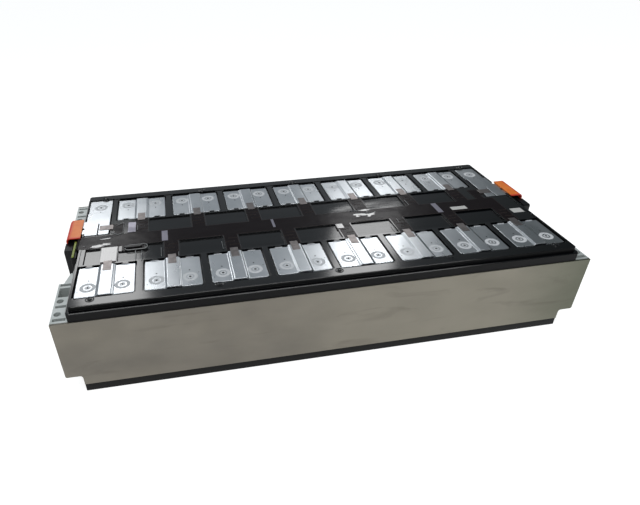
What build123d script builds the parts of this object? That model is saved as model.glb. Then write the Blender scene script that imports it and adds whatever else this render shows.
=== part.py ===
from build123d import *
import os

# One-row traction battery module, sixteen prismatic cells in series.
# X runs along the row, Y across it, Z up. The origin is the centre of the underside.
# "Near" is the -Y side, "far" the +Y side. All sizes are millimetres.

# ---- cells ----
cell_count = 16
cell_thickness = 33.8
cell_width = 250.0
cell_height = 99.5
cell_corner_cut = 2.0
spacer_thickness = 0.8
spacer_margin = 6.0
terminal_inset = 34.3
terminal_length = 20.0
terminal_width = 36.0
terminal_height = 3.1

# ---- bottom pan and thermal pad ----
pan_floor = 1.5
pan_lip_height = 9.8
pan_end_wall = 1.5
pan_side_wall = 2.2
pan_clearance = 0.2
thermal_pad_thickness = 1.0
thermal_pad_margin = 3.0

# ---- side plates, end plates, insulation ----
side_film_thickness = 0.5
side_plate_thickness = 2.5
end_insulator_thickness = 1.2
end_plate_thickness = 17.4
plate_drop = 8.6
end_plate_bottom = 22.5
side_plate_gap = 0.2
side_notch_radius = 3.0
side_corner_radius = 2.0
insulation_top_gap = 0.2

# ---- end plate section ----
corner_block_width = 68.5
middle_thickness = 7.4
middle_drop = 5.4
gusset_thickness = 12.4
gusset_reach = 19.0
bolt_hole_radius = 3.5
bolt_hole_inset = 5.5
bolt_hole_edge = 14.6
bolt_hole_spacing = 21.7
slot_outer_inset = 2.0
slot_inner_inset = 2.6
slot_edges = (65.5, 27.0, 5.3)
slot_width = 4.2
hollow_edge = 43.5
hollow_width = 16.5

# ---- busbars ----
busbar_gap = 9.6
busbar_inward = 38.1
busbar_outward = 15.9
busbar_thickness = 2.0
busbar_corner_cut = 1.0
bridge_width = 13.0
bridge_rise = 1.4
bridge_slope = 2.2
bridge_overhang = 2.0

# ---- output busbars ----
output_width = 28.0
output_end_gap = 1.9
output_near = 17.0
output_outward = 20.3
output_crease_inward = 15.2
output_crease_run = 2.0
output_slit_inset = 15.2
output_slit_end = 44.0
output_slit_width = 1.2
tongue_near = 22.0
tongue_far = 52.0
tongue_hood_gap = 2.1
terminal_hole_radius = 3.4
terminal_hole_edge = 5.4
terminal_y = 38.0
notch_radius = 2.4
notch_row = 34.0

# ---- busbar tray ----
tray_end_inset = 0.7
tray_side_inset = 2.5
tray_corner_radius = 3.0
tray_underside_gap = 0.4
rim_rise = 0.7
rim_width = 12.0
end_rim_width = 2.4
skirt_end_overhang = 2.9
skirt_side_overhang = 4.5
skirt_wall = 1.6
skirt_bottom_gap = 0.2
shoulder_cut = 0.8
skirt_top_drop = 5.1
pocket_clearance_x = 1.5
pocket_clearance_y = 0.9
pocket_floor_gap = 0.1
terminal_window_length = 23.0
terminal_window_width = 40.0
output_pocket_clearance = 0.3
tongue_opening_margin = 5.0
spine_half_width = 14.5
branch_platform_width = 19.0
panel_depth = 2.0
panel_edge_gap = 2.6
gas_channel_half_width = 38.0
gas_channel_height = 1.8
end_panel_inset = 4.6
sensor_island_length = 32.0
sensor_island_width = 11.0

# ---- flexible circuit and sense tabs ----
circuit_half_width = 13.6
circuit_thickness = 0.6
circuit_overhang = 0.9
circuit_flap_near = -13.0
circuit_flap_far = 9.0
branch_width = 16.0
branch_end_gap = 2.1
branch_slit_rows = (22.0, 29.5, 37.0)
branch_slit_length = 11.0
branch_slit_width = 1.6
hook_inset = 17.8
hook_width = 11.0
hook_gap = 1.0
hook_near = 25.0
hook_far = 40.0
tab_width = 9.0
tab_length = 18.5
tab_thickness = 0.3
tab_overlap = 4.0
output_tab_length = 16.0
output_tab_width = 11.0
output_tab_y = 32.5

# ---- terminal hoods, bases and inserts ----
hood_near = 11.0
hood_far = 56.0
hood_inner_lap = 1.6
hood_outer_inset = 1.6
hood_drop = 11.5
hood_wall = 1.3
hood_round = 4.0
hood_corner_cut = 3.2
hood_clearance = 0.2
base_near = -8.0
base_step_gap = 0.3
base_skirt_gap = 0.3
base_outer_inset = 0.8
base_leg_drop = 27.4
base_seat_rise = 2.5
base_clearance = 0.2
base_leg_far = 36.0
base_edge_cut = 1.5
insert_radius = 4.5
insert_bore_radius = 2.5
insert_depth = 12.0

# ---- signal connector ----
connector_base_gap = 0.7
connector_length = 35.0
connector_width = 5.9
connector_gap = 3.3
lock_width = 2.4
lock_rise = 1.8
lock_margin = 1.2
lock_inset = 1.0

# ---- sensor and labels ----
sensor_x = -216.0
sensor_y = -19.5
sensor_length = 20.0
sensor_width = 5.0
sensor_height = 1.4
label_thickness = 0.1
band_label_x = 192.0
band_label_y = -6.0
band_label_length = 21.0
band_label_width = 8.0
panel_label_inset = 13.7
panel_label_y = -26.0
panel_label_length = 15.0
panel_label_width = 11.0

# ---- how near an edge has to lie to be picked ----
touch = 0.01

# ---- worked out from the sizes above: heights ----
cell_bottom = pan_floor + thermal_pad_thickness
lid_top = cell_bottom + cell_height
terminal_top = lid_top + terminal_height
busbar_top = terminal_top + busbar_thickness
bridge_top = busbar_top + bridge_rise
output_top = bridge_top
tray_bottom = lid_top + tray_underside_gap
plate_top = lid_top - plate_drop
middle_top = plate_top - middle_drop
tray_deck = bridge_top - circuit_thickness
tray_rim_top = tray_deck + rim_rise
circuit_top = tray_deck + circuit_thickness
pocket_floor = terminal_top - pocket_floor_gap
panel_floor = tray_deck - panel_depth
skirt_bottom = plate_top + skirt_bottom_gap
skirt_top = tray_rim_top - skirt_top_drop
side_plate_bottom = pan_lip_height + side_plate_gap
insulation_top = plate_top - insulation_top_gap
hood_roof = output_top + hood_clearance
hood_top = hood_roof + hood_wall
hood_skirt_bottom = output_top - hood_drop
base_bottom = plate_top - base_leg_drop
base_top = output_top - busbar_thickness - base_seat_rise
connector_top = tray_deck - connector_gap

# ---- worked out: along the row ----
cell_pitch = cell_thickness + spacer_thickness
busbar_pitch = 2 * cell_pitch
busbar_length = busbar_pitch - busbar_gap
stack_half_length = (cell_count * cell_pitch - spacer_thickness) / 2
plate_inner_x = stack_half_length + end_insulator_thickness
plate_outer_x = plate_inner_x + end_plate_thickness
pan_half_length = stack_half_length + pan_clearance + pan_end_wall
hole_x = plate_outer_x - bolt_hole_inset
tray_half_length = stack_half_length - tray_end_inset
skirt_half_length = tray_half_length + skirt_end_overhang
output_outer_x = tray_half_length - output_end_gap
output_inner_x = output_outer_x - output_width
output_slit_x = output_outer_x - output_slit_inset
hood_inner_x = skirt_half_length - hood_inner_lap
hood_outer_x = plate_outer_x - hood_outer_inset
tongue_reach = hood_outer_x - hood_wall - tongue_hood_gap
terminal_x = tongue_reach - terminal_hole_edge
base_inner_x = skirt_half_length + base_skirt_gap
base_outer_x = plate_outer_x - base_outer_inset
base_far = hood_far - hood_wall - hood_clearance
base_step = hood_near - base_step_gap
connector_far = base_step - connector_base_gap
hook_inner_x = output_inner_x - hook_inset
circuit_left_end = -(skirt_half_length + circuit_overhang)
circuit_right_end = hook_inner_x + hook_width
panel_label_x = tray_half_length - panel_label_inset
near_busbar_count = cell_count // 2
far_busbar_count = near_busbar_count - 1
near_centres = [(i - (near_busbar_count - 1) / 2) * busbar_pitch for i in range(near_busbar_count)]
far_centres = [(i - (far_busbar_count - 1) / 2) * busbar_pitch for i in range(far_busbar_count)]

# ---- worked out: across the row ----
side_plate_inner_y = cell_width / 2 + side_film_thickness
pan_half_width = cell_width / 2 + pan_clearance + pan_side_wall
corner_block_end = side_plate_inner_y - corner_block_width
gusset_end = corner_block_end - gusset_reach
bolt_hole_outer = side_plate_inner_y - bolt_hole_edge
bolt_hole_inner = bolt_hole_outer - bolt_hole_spacing
hollow_end = side_plate_inner_y - hollow_edge
hollow_start = hollow_end - hollow_width
terminal_row = cell_width / 2 - terminal_inset
busbar_inner = terminal_row - busbar_inward
busbar_outer = terminal_row + busbar_outward
output_far = terminal_row + output_outward
output_crease = terminal_row - output_crease_inward
tray_half_width = cell_width / 2 - tray_side_inset
skirt_half_width = tray_half_width + skirt_side_overhang
pocket_inner = busbar_inner - bridge_overhang - pocket_clearance_y
pocket_outer = busbar_outer + pocket_clearance_y
branch_reach = busbar_inner - bridge_overhang - branch_end_gap

os.makedirs("parts", exist_ok=True)


def write(piece, name):
    """Label a finished piece and write it as its own STEP file."""
    piece.part.label = name
    export_step(piece.part, f"parts/{name}.step")


def upright(x, y, direction):
    """Vertical sketch plane at (x, y) whose normal points along +Y or -Y and whose own Y is up."""
    return Plane(origin=(x, y, 0), x_dir=(-direction, 0, 0), z_dir=(0, direction, 0))


# ---- cells: one sealed can each, with its two terminal blocks on the lid ----
def cell_x(index):
    """Centre of a cell along the row."""
    return (index - (cell_count - 1) / 2) * cell_pitch


for index in range(cell_count):
    with BuildPart() as cell:
        with BuildSketch(Plane.XY.offset(cell_bottom)):
            with Locations((cell_x(index), 0)):
                Rectangle(cell_thickness, cell_width)
        extrude(amount=cell_height)
        chamfer(cell.edges().filter_by(Axis.Z), length=cell_corner_cut)
        with BuildSketch(Plane.XY.offset(lid_top)):
            with Locations((cell_x(index), -terminal_row), (cell_x(index), terminal_row)):
                Rectangle(terminal_length, terminal_width)
        extrude(amount=terminal_height)
    write(cell, f"cell_{index + 1:02d}")

# ---- spacer pads between neighbouring cells ----
with BuildPart() as cell_spacers:
    with BuildSketch(Plane.XY.offset(cell_bottom + spacer_margin)):
        with GridLocations(cell_pitch, 0, cell_count - 1, 1):
            Rectangle(spacer_thickness, cell_width - 2 * spacer_margin)
    extrude(amount=cell_height - 2 * spacer_margin)
write(cell_spacers, "cell_spacers")

# ---- thermal pad the cells stand on ----
with BuildPart() as thermal_pad:
    with BuildSketch(Plane.XY.offset(pan_floor)):
        Rectangle(2 * (stack_half_length - thermal_pad_margin), cell_width - 2 * thermal_pad_margin)
    extrude(amount=thermal_pad_thickness)
write(thermal_pad, "thermal_pad")

# ---- bottom pan: a shallow tray whose lips stand below the side plates ----
with BuildPart() as bottom_pan:
    with BuildSketch():
        Rectangle(2 * pan_half_length, 2 * pan_half_width)
    extrude(amount=pan_lip_height)
    with BuildSketch(Plane.XY.offset(pan_floor)):
        Rectangle(2 * (pan_half_length - pan_end_wall), 2 * (pan_half_width - pan_side_wall))
    extrude(amount=pan_lip_height, mode=Mode.SUBTRACT)
write(bottom_pan, "bottom_pan")

# ---- side plates: one sheet each side, its lower corners cut back above the mounting feet ----
for side_name, side in (("near", -1), ("far", 1)):
    with BuildPart() as side_plate:
        with BuildSketch(upright(0, side * side_plate_inner_y, side)):
            with BuildLine():
                Polyline(
                    (-plate_outer_x, end_plate_bottom),
                    (-pan_half_length, end_plate_bottom),
                    (-pan_half_length, side_plate_bottom),
                    (pan_half_length, side_plate_bottom),
                    (pan_half_length, end_plate_bottom),
                    (plate_outer_x, end_plate_bottom),
                    (plate_outer_x, plate_top),
                    (-plate_outer_x, plate_top),
                    close=True,
                )
            make_face()
        extrude(amount=side_plate_thickness)
        for corner_x, radius in ((pan_half_length, side_notch_radius), (plate_outer_x, side_corner_radius)):
            corners = side_plate.edges().filter_by(Axis.Y).filter_by(
                lambda e: abs(abs(e.center().X) - corner_x) < touch
                and abs(e.center().Z - end_plate_bottom) < touch
            )
            fillet(corners, radius=radius)
    write(side_plate, f"side_plate_{side_name}")

    with BuildPart() as side_film:
        with BuildSketch(upright(0, side * cell_width / 2, side)):
            with Locations((0, (side_plate_bottom + insulation_top) / 2)):
                Rectangle(2 * stack_half_length, insulation_top - side_plate_bottom)
        extrude(amount=side_film_thickness)
    write(side_film, f"side_film_{side_name}")

# ---- end plates: an upright extrusion, solid corner blocks with a thinner and lower middle ----
for end_name, end in (("left", -1), ("right", 1)):
    with BuildPart() as end_plate:
        with BuildSketch(Plane.XY.offset(end_plate_bottom)):
            with BuildLine():
                half = Polyline(
                    (end * plate_inner_x, 0),
                    (end * plate_inner_x, side_plate_inner_y),
                    (end * plate_outer_x, side_plate_inner_y),
                    (end * plate_outer_x, corner_block_end),
                    (end * (plate_inner_x + gusset_thickness), corner_block_end),
                    (end * (plate_inner_x + middle_thickness), gusset_end),
                    (end * (plate_inner_x + middle_thickness), 0),
                )
                mirror(half, about=Plane.XZ)
            make_face()
            for slot_edge in slot_edges:
                row = side_plate_inner_y - slot_edge
                slot_length = end_plate_thickness - slot_outer_inset - slot_inner_inset
                slot_x = end * (plate_outer_x - slot_outer_inset - slot_length / 2)
                with Locations((slot_x, -row), (slot_x, row)):
                    Rectangle(slot_length, slot_width, mode=Mode.SUBTRACT)
            hollow_length = end_plate_thickness - slot_outer_inset - slot_inner_inset
            hollow_x = end * (plate_outer_x - slot_outer_inset - hollow_length / 2)
            hollow_y = (hollow_start + hollow_end) / 2
            with Locations((hollow_x, -hollow_y), (hollow_x, hollow_y)):
                Rectangle(hollow_length, hollow_end - hollow_start, mode=Mode.SUBTRACT)
        extrude(amount=plate_top - end_plate_bottom)
        with BuildSketch(Plane.XY.offset(middle_top)):
            with Locations((end * (plate_inner_x + middle_thickness / 2), 0)):
                Rectangle(middle_thickness, 2 * gusset_end)
        extrude(amount=plate_top - middle_top, mode=Mode.SUBTRACT)
        with Locations(
            *[
                (end * hole_x, y, plate_top)
                for y in (-bolt_hole_outer, -bolt_hole_inner, bolt_hole_inner, bolt_hole_outer)
            ]
        ):
            Hole(radius=bolt_hole_radius)
    write(end_plate, f"end_plate_{end_name}")

    with BuildPart() as end_insulator:
        insulator_height = insulation_top - side_plate_bottom
        with BuildSketch(Plane.XY.offset(side_plate_bottom)):
            with Locations((end * (stack_half_length + end_insulator_thickness / 2), 0)):
                Rectangle(end_insulator_thickness, cell_width)
        extrude(amount=insulator_height)
    write(end_insulator, f"end_insulator_{end_name}")


# ---- cell-to-cell busbars: two welded pads joined by a raised bridge that lets the cells breathe ----
def busbar(centre_x, side):
    """Busbar over two neighbouring cells; side is -1 for the near row and 1 for the far row."""
    half = busbar_length / 2
    crest = bridge_width / 2
    inner_end = busbar_inner - bridge_overhang
    with BuildPart() as bar:
        with BuildSketch(upright(centre_x, side * inner_end, side)):
            with BuildLine():
                Polyline(
                    (-half, terminal_top),
                    (-crest - bridge_slope, terminal_top),
                    (-crest, terminal_top + bridge_rise),
                    (crest, terminal_top + bridge_rise),
                    (crest + bridge_slope, terminal_top),
                    (half, terminal_top),
                    (half, busbar_top),
                    (crest + bridge_slope, busbar_top),
                    (crest, bridge_top),
                    (-crest, bridge_top),
                    (-crest - bridge_slope, busbar_top),
                    (-half, busbar_top),
                    close=True,
                )
            make_face()
        extrude(amount=busbar_outer - inner_end)
        pad_length = half - crest - bridge_slope
        pad_middle = half - pad_length / 2
        overhang_y = side * (inner_end + bridge_overhang / 2)
        with BuildSketch(Plane.XY.offset(terminal_top)):
            with Locations((centre_x - pad_middle, overhang_y), (centre_x + pad_middle, overhang_y)):
                Rectangle(pad_length, bridge_overhang)
        extrude(amount=busbar_thickness, mode=Mode.SUBTRACT)
        corners = bar.edges().filter_by(Axis.Z).group_by(lambda e: abs(e.center().X - centre_x))[-1]
        chamfer(corners, length=busbar_corner_cut)
    return bar


for index, centre_x in enumerate(near_centres):
    write(busbar(centre_x, -1), f"near_busbar_{index + 1}")
for index, centre_x in enumerate(far_centres):
    write(busbar(centre_x, 1), f"far_busbar_{index + 1}")

# ---- output busbars: welded pad, a crease up, then a tongue out over the terminal base ----
for end_name, end in (("left", -1), ("right", 1)):
    with BuildPart() as output_busbar:
        with BuildSketch(Plane(origin=(end * output_inner_x, 0, 0), x_dir=(0, 1, 0), z_dir=(1, 0, 0))):
            with BuildLine():
                Polyline(
                    (output_far, terminal_top),
                    (output_crease, terminal_top),
                    (output_crease - output_crease_run, terminal_top + bridge_rise),
                    (output_near, terminal_top + bridge_rise),
                    (output_near, output_top),
                    (output_crease - output_crease_run, output_top),
                    (output_crease, busbar_top),
                    (output_far, busbar_top),
                    close=True,
                )
            make_face()
        extrude(amount=end * (output_outer_x - output_inner_x))
        output_corners = output_busbar.edges().filter_by(Axis.Z)
        chamfer(output_corners, length=busbar_corner_cut)
        with BuildSketch(Plane.XY.offset(output_top)):
            tongue_middle = (tongue_near + tongue_far) / 2
            tongue_start = output_outer_x - busbar_corner_cut
            with Locations((end * (tongue_start + tongue_reach) / 2, tongue_middle)):
                Rectangle(tongue_reach - tongue_start, tongue_far - tongue_near)
            with Locations((end * terminal_x, terminal_y)):
                Circle(terminal_hole_radius, mode=Mode.SUBTRACT)
        extrude(amount=-busbar_thickness)
        with BuildSketch(Plane.XY.offset(output_top)):
            with Locations((end * output_slit_x, (output_near + output_slit_end) / 2)):
                Rectangle(output_slit_width, output_slit_end - output_near)
            with Locations((end * hood_inner_x, notch_row)):
                Circle(notch_radius)
        extrude(amount=-busbar_thickness, mode=Mode.SUBTRACT)
    write(output_busbar, f"output_busbar_{end_name}")

# ---- busbar tray: one moulding with a stepped skirt, rim, pockets, sunk panels and a raised spine ----
branch_centres = [(x, -1) for x in near_centres] + [(x, 1) for x in far_centres]
near_panels = [(a + b) / 2 for a, b in zip(near_centres, near_centres[1:])]
far_panels = [(a + b) / 2 for a, b in zip(far_centres, far_centres[1:])]
panel_length = busbar_pitch - branch_platform_width
panel_far_edge = pocket_inner - panel_edge_gap
panel_width = panel_far_edge - spine_half_width
panel_row = (spine_half_width + panel_far_edge) / 2
end_panel_start = near_centres[0] - branch_platform_width / 2
end_panel_end = -(tray_half_length - end_rim_width - end_panel_inset)
pocket_row = (pocket_inner + pocket_outer) / 2
pocket_length = busbar_length + 2 * pocket_clearance_x
output_pocket_inner = output_inner_x - pocket_clearance_x
output_pocket_outer = output_outer_x + output_pocket_clearance
output_pocket_near = output_near - pocket_clearance_y
output_pocket_far = output_far + pocket_clearance_y

with BuildPart() as busbar_tray:
    # deck over the cell lids, then the shoulder and skirt that wrap the cells' top edges
    with BuildSketch(Plane.XY.offset(tray_bottom)):
        RectangleRounded(2 * tray_half_length, 2 * tray_half_width, tray_corner_radius)
    extrude(amount=tray_rim_top - tray_bottom)
    with BuildSketch(Plane.XY.offset(skirt_bottom)):
        RectangleRounded(2 * skirt_half_length, 2 * skirt_half_width, tray_corner_radius + skirt_wall)
    extrude(amount=skirt_top - skirt_bottom)
    with BuildSketch(Plane.XY.offset(skirt_bottom)):
        Rectangle(2 * (skirt_half_length - skirt_wall), 2 * (skirt_half_width - skirt_wall))
    extrude(amount=tray_bottom - skirt_bottom, mode=Mode.SUBTRACT)
    shoulder = busbar_tray.edges().filter_by(lambda e: abs(e.center().Z - skirt_top) < touch)
    outer_shoulder = shoulder.filter_by(Axis.X).group_by(lambda e: abs(e.center().Y))[-1]
    chamfer(outer_shoulder, length=shoulder_cut)
    # the deck lies below the rim
    with BuildSketch(Plane.XY.offset(tray_deck)):
        Rectangle(2 * (tray_half_length - end_rim_width), 2 * (tray_half_width - rim_width))
    extrude(amount=rim_rise, mode=Mode.SUBTRACT)
    # busbar pockets: a sunk floor to carry each busbar, open right through over the cell terminals
    with BuildSketch(Plane.XY.offset(pocket_floor)):
        with Locations(*[(x, side * pocket_row) for x, side in branch_centres]):
            Rectangle(pocket_length, pocket_outer - pocket_inner)
        for end in (-1, 1):
            output_pocket_x = end * (output_pocket_inner + output_pocket_outer) / 2
            with Locations((output_pocket_x, (output_pocket_near + output_pocket_far) / 2)):
                Rectangle(output_pocket_outer - output_pocket_inner, output_pocket_far - output_pocket_near)
            # gap in the end rim for the output tongue
            opening_width = tongue_far - tongue_near + tongue_opening_margin
            with Locations((end * tray_half_length, (tongue_near + tongue_far + tongue_opening_margin) / 2)):
                Rectangle(2 * end_rim_width, opening_width + 2 * output_pocket_clearance)
    extrude(amount=tray_rim_top - pocket_floor, mode=Mode.SUBTRACT)
    with BuildSketch(Plane.XY.offset(tray_bottom)):
        with Locations(*[(x, side * terminal_row) for x, side in branch_centres]):
            Rectangle(cell_pitch + terminal_window_length, terminal_window_width)
        with Locations((-cell_x(cell_count - 1), terminal_row), (cell_x(cell_count - 1), terminal_row)):
            Rectangle(terminal_window_length, terminal_window_width)
    extrude(amount=tray_rim_top - tray_bottom, mode=Mode.SUBTRACT)
    # sunk panels between the circuit's branches
    with BuildSketch(Plane.XY.offset(panel_floor)):
        with Locations(*[(x, -panel_row) for x in near_panels], *[(x, panel_row) for x in far_panels]):
            Rectangle(panel_length, panel_width)
        with Locations(((end_panel_start + end_panel_end) / 2, -panel_row)):
            Rectangle(end_panel_start - end_panel_end, panel_width)
    extrude(amount=panel_depth, mode=Mode.SUBTRACT)
    # island under the sensor, and the gap in the left end rim where the circuit leaves
    with BuildSketch(Plane.XY.offset(panel_floor)):
        with Locations((sensor_x, -(spine_half_width + sensor_island_width / 2))):
            Rectangle(sensor_island_length, sensor_island_width)
    extrude(amount=panel_depth)
    with BuildSketch(Plane.XY.offset(tray_deck)):
        with Locations((-tray_half_length, 0)):
            Rectangle(2 * end_rim_width, 2 * spine_half_width)
    extrude(amount=rim_rise, mode=Mode.SUBTRACT)
    # gas channel under the deck, above the row of cell vents
    with BuildSketch(Plane.XY.offset(tray_bottom)):
        Rectangle(2 * stack_half_length, 2 * gas_channel_half_width)
    extrude(amount=gas_channel_height, mode=Mode.SUBTRACT)
write(busbar_tray, "busbar_tray")

# ---- flexible printed circuit: a band along the spine with a slit branch to every busbar ----
with BuildPart() as sense_circuit:
    branch_start = circuit_half_width
    with BuildSketch(Plane.XY.offset(tray_deck)):
        with Locations(((circuit_left_end + circuit_right_end) / 2, 0)):
            Rectangle(circuit_right_end - circuit_left_end, 2 * circuit_half_width)
        with Locations(*[(x, side * (branch_start + branch_reach) / 2) for x, side in branch_centres]):
            Rectangle(branch_width, branch_reach - branch_start)
        # slits from alternate sides let each branch stretch as the cells swell
        for count, row in enumerate(branch_slit_rows):
            shift = (branch_width - branch_slit_length) / 2 * (-1) ** count
            with Locations(*[(x + shift, side * row) for x, side in branch_centres]):
                Rectangle(branch_slit_length, branch_slit_width, mode=Mode.SUBTRACT)
        # hooked branches to the two output busbars
        for end in (-1, 1):
            hook_x = end * (hook_inner_x + hook_width / 2)
            hook_reach = output_inner_x - hook_gap
            with Locations((hook_x, (branch_start + hook_far) / 2)):
                Rectangle(hook_width, hook_far - branch_start)
            with Locations((end * (hook_inner_x + hook_reach) / 2, (hook_near + hook_far) / 2)):
                Rectangle(hook_reach - hook_inner_x, hook_far - hook_near)
        # ear that carries the sensor
        with Locations((sensor_x, -(branch_start + sensor_island_width / 2))):
            Rectangle(sensor_length + sensor_width, sensor_island_width)
    extrude(amount=circuit_thickness)
    # flap that turns down into the signal connector
    with BuildSketch(Plane.XY.offset(connector_top)):
        flap_width = circuit_flap_far - circuit_flap_near
        flap_middle = (circuit_flap_near + circuit_flap_far) / 2
        with Locations((circuit_left_end + circuit_thickness / 2, flap_middle)):
            Rectangle(circuit_thickness, flap_width)
    extrude(amount=circuit_top - connector_top)
write(sense_circuit, "sense_circuit")

# ---- nickel sense tabs, one on every busbar ----
with BuildPart() as sense_tabs:
    with BuildSketch(Plane.XY.offset(bridge_top)):
        tab_row = branch_reach - tab_overlap + tab_length / 2
        with Locations(*[(x, side * tab_row) for x, side in branch_centres]):
            Rectangle(tab_width, tab_length)
        output_tab_x = output_inner_x - hook_gap - tab_overlap + output_tab_length / 2
        with Locations((-output_tab_x, output_tab_y), (output_tab_x, output_tab_y)):
            Rectangle(output_tab_length, output_tab_width)
    extrude(amount=tab_thickness)
write(sense_tabs, "sense_tabs")

# ---- temperature sensor on the circuit's ear ----
with BuildPart() as temperature_sensor:
    with BuildSketch(Plane.XY.offset(circuit_top)):
        with Locations((sensor_x, sensor_y)):
            SlotOverall(sensor_length, sensor_width)
    extrude(amount=sensor_height)
write(temperature_sensor, "temperature_sensor")

# ---- blank paper labels ----
with BuildPart() as band_label:
    with BuildSketch(Plane.XY.offset(circuit_top)):
        with Locations((band_label_x, band_label_y)):
            Rectangle(band_label_length, band_label_width)
    extrude(amount=label_thickness)
write(band_label, "band_label")

with BuildPart() as panel_label:
    with BuildSketch(Plane.XY.offset(tray_deck)):
        with Locations((panel_label_x, panel_label_y)):
            Rectangle(panel_label_length, panel_label_width)
    extrude(amount=label_thickness)
write(panel_label, "panel_label")

# ---- terminal bases, threaded inserts and orange hoods at the two ends ----
for end_name, end in (("left", -1), ("right", 1)):
    leg_inner_x = plate_inner_x + middle_thickness + base_clearance
    narrow_outer_x = hood_outer_x - hood_wall - hood_clearance
    tongue_bottom = output_top - busbar_thickness
    tongue_middle = (tongue_near + tongue_far) / 2
    insert_place = (end * terminal_x, terminal_y)
    with BuildPart() as terminal_base:
        # upper body over the end plate, wide beside the hood and narrow under it
        with BuildSketch(Plane.XY.offset(plate_top + base_clearance)):
            with BuildLine():
                Polyline(
                    (end * leg_inner_x, base_near),
                    (end * base_outer_x, base_near),
                    (end * base_outer_x, base_step),
                    (end * narrow_outer_x, base_step),
                    (end * narrow_outer_x, base_far),
                    (end * base_inner_x, base_far),
                    (end * base_inner_x, base_step),
                    (end * leg_inner_x, base_step),
                    close=True,
                )
            make_face()
        extrude(amount=base_top - plate_top - base_clearance)
        # leg that hangs in front of the end plate's recessed middle
        with BuildSketch(Plane.XY.offset(base_bottom)):
            with Locations((end * (leg_inner_x + base_outer_x) / 2, (base_near + base_leg_far) / 2)):
                Rectangle(base_outer_x - leg_inner_x, base_leg_far - base_near)
        extrude(amount=plate_top + base_clearance - base_bottom)
        # raised seat for the tongue, bored for the threaded insert
        with BuildSketch(Plane.XY.offset(base_top)):
            with Locations((end * (base_inner_x + tongue_reach) / 2, tongue_middle)):
                Rectangle(tongue_reach - base_inner_x, tongue_far - tongue_near)
        extrude(amount=tongue_bottom - base_top)
        with BuildSketch(Plane.XY.offset(tongue_bottom)):
            with Locations(insert_place):
                Circle(insert_radius)
        extrude(amount=-insert_depth, mode=Mode.SUBTRACT)
        near_top = terminal_base.edges().filter_by(Axis.X).filter_by(
            lambda e: abs(e.center().Y - base_near) < touch and abs(e.center().Z - base_top) < touch
        )
        chamfer(near_top, length=base_edge_cut)
    write(terminal_base, f"terminal_base_{end_name}")

    with BuildPart() as terminal_insert:
        with BuildSketch(Plane.XY.offset(tongue_bottom)):
            with Locations(insert_place):
                Circle(insert_radius)
                Circle(insert_bore_radius, mode=Mode.SUBTRACT)
        extrude(amount=-insert_depth)
    write(terminal_insert, f"terminal_insert_{end_name}")

    with BuildPart() as terminal_hood:
        # folded cap: flat roof, rounded outer edge and an outer wall; the near end stays open
        hood_middle = (hood_near + hood_far) / 2
        hood_length = hood_far - hood_near
        with BuildSketch(Plane.XY.offset(hood_skirt_bottom)):
            with Locations((end * (hood_inner_x + hood_outer_x) / 2, hood_middle)):
                Rectangle(hood_outer_x - hood_inner_x, hood_length)
        extrude(amount=hood_top - hood_skirt_bottom)
        outer_edges = terminal_hood.edges().filter_by(lambda e: abs(abs(e.center().X) - hood_outer_x) < touch)
        far_corner = outer_edges.filter_by(Axis.Z).sort_by(Axis.Y)[-1]
        chamfer(far_corner, length=hood_corner_cut)
        top_edge = terminal_hood.edges().filter_by(Axis.Y).filter_by(
            lambda e: abs(abs(e.center().X) - hood_outer_x) < touch and abs(e.center().Z - hood_top) < touch
        )
        fillet(top_edge, radius=hood_round)
        cavity_length = hood_length - hood_wall
        with BuildPart(mode=Mode.PRIVATE) as cavity:
            with BuildSketch(Plane.XY.offset(hood_skirt_bottom)):
                cavity_x = end * (hood_inner_x + hood_outer_x - hood_wall) / 2
                with Locations((cavity_x, hood_middle - hood_wall / 2)):
                    Rectangle(hood_outer_x - hood_wall - hood_inner_x, cavity_length)
                # nothing hangs down over the tray's own skirt
                with Locations((end * (hood_inner_x + base_inner_x) / 2, hood_middle)):
                    Rectangle(base_inner_x - hood_inner_x, hood_length)
            extrude(amount=hood_roof - hood_skirt_bottom)
            inner_edge = cavity.edges().filter_by(Axis.Y).filter_by(
                lambda e: abs(e.center().Z - hood_roof) < touch
            ).sort_by(lambda e: abs(e.center().X))[-1]
            fillet(inner_edge, radius=hood_round - hood_wall)
        add(cavity.part, mode=Mode.SUBTRACT)
    write(terminal_hood, f"terminal_hood_{end_name}")

# ---- signal connector under the circuit's flap, with its lock slide ----
with BuildPart() as signal_connector:
    connector_outer_x = -(base_inner_x + connector_width)
    connector_middle = connector_far - connector_length / 2
    connector_place = ((connector_outer_x - base_inner_x) / 2, connector_middle)
    with BuildSketch(Plane.XY.offset(middle_top + base_clearance)):
        with Locations(connector_place):
            Rectangle(connector_width, connector_length)
    extrude(amount=connector_top - middle_top - base_clearance)
write(signal_connector, "signal_connector")

with BuildPart() as connector_lock:
    lock_x = connector_outer_x + lock_margin + lock_width / 2
    with BuildSketch(Plane.XY.offset(connector_top)):
        with Locations((lock_x, connector_middle)):
            Rectangle(lock_width, connector_length - 2 * lock_inset)
    extrude(amount=lock_rise)
write(connector_lock, "connector_lock")
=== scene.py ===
import math

import bmesh
import bpy
from mathutils import Matrix, Vector, noise


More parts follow.
